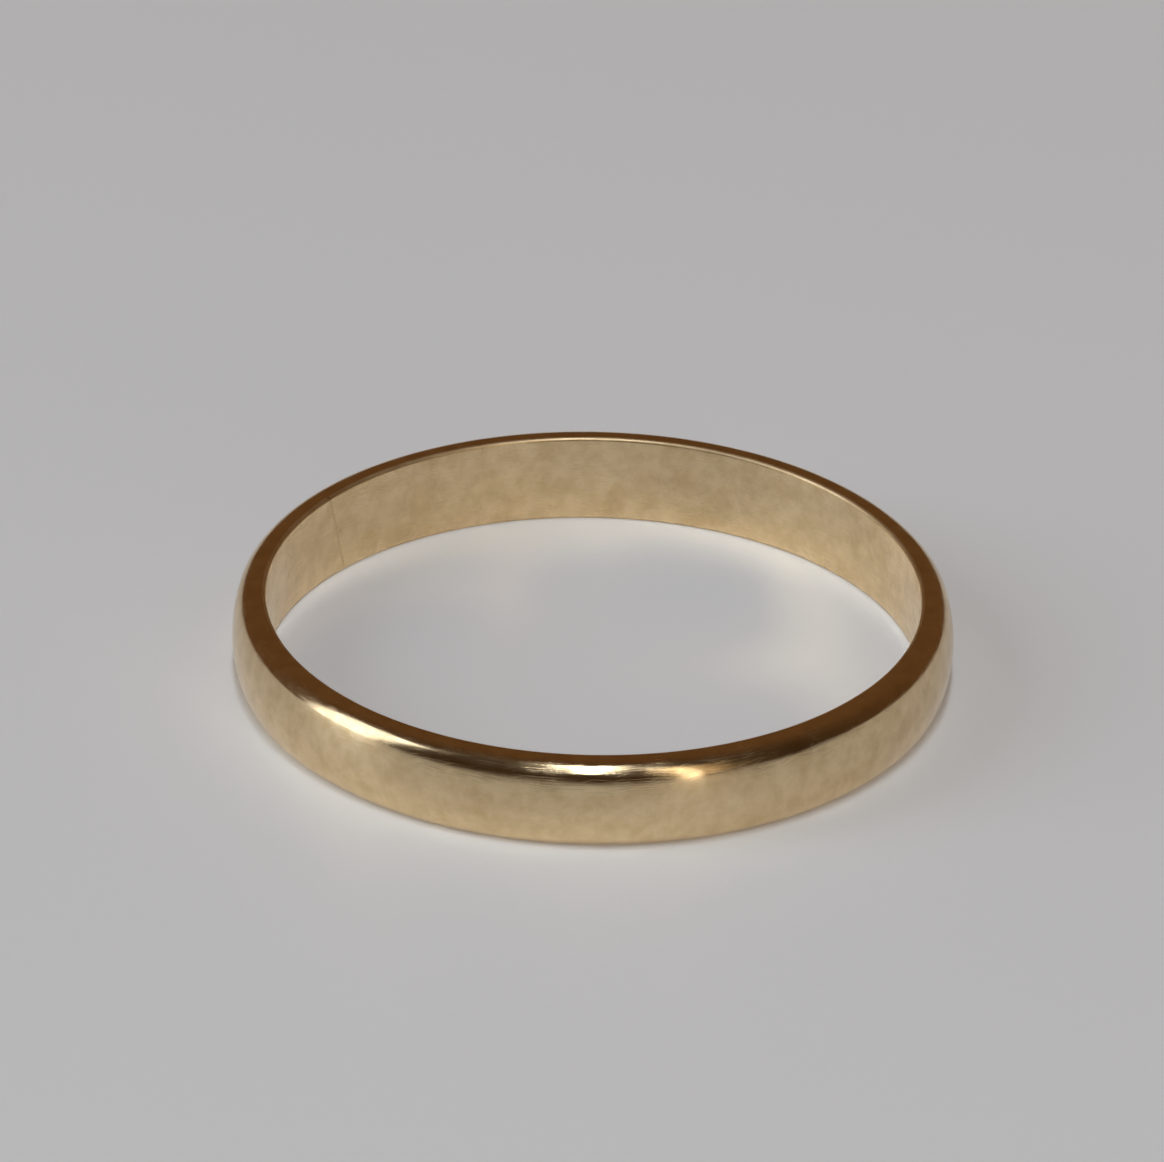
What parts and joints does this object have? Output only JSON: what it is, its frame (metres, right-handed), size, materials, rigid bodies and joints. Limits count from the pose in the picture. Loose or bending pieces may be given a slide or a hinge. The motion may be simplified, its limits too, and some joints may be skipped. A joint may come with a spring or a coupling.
{
  "type": "wedding band",
  "caption": "Plain low-domed finger ring of yellow gold, flat inside with flat polished edges, closed by one soldered joint.",
  "frame": {"origin": "centre of the finger hole, in the plane of the lower flat edge that the ring stands on", "axes": "+Z along the finger's axis, up from the edge the ring stands on; +X and +Y lie in that plane, and the soldered joint is at 143 degrees anticlockwise from +X"},
  "size_m": [0.0193, 0.0194, 0.0025],
  "materials": {
    "gold": "polished",
    "gold_solder": "satin"
  },
  "bodies": {
    "root": {"band": "gold", "solder_seam": "gold_solder"}
  },
  "joints": []
}
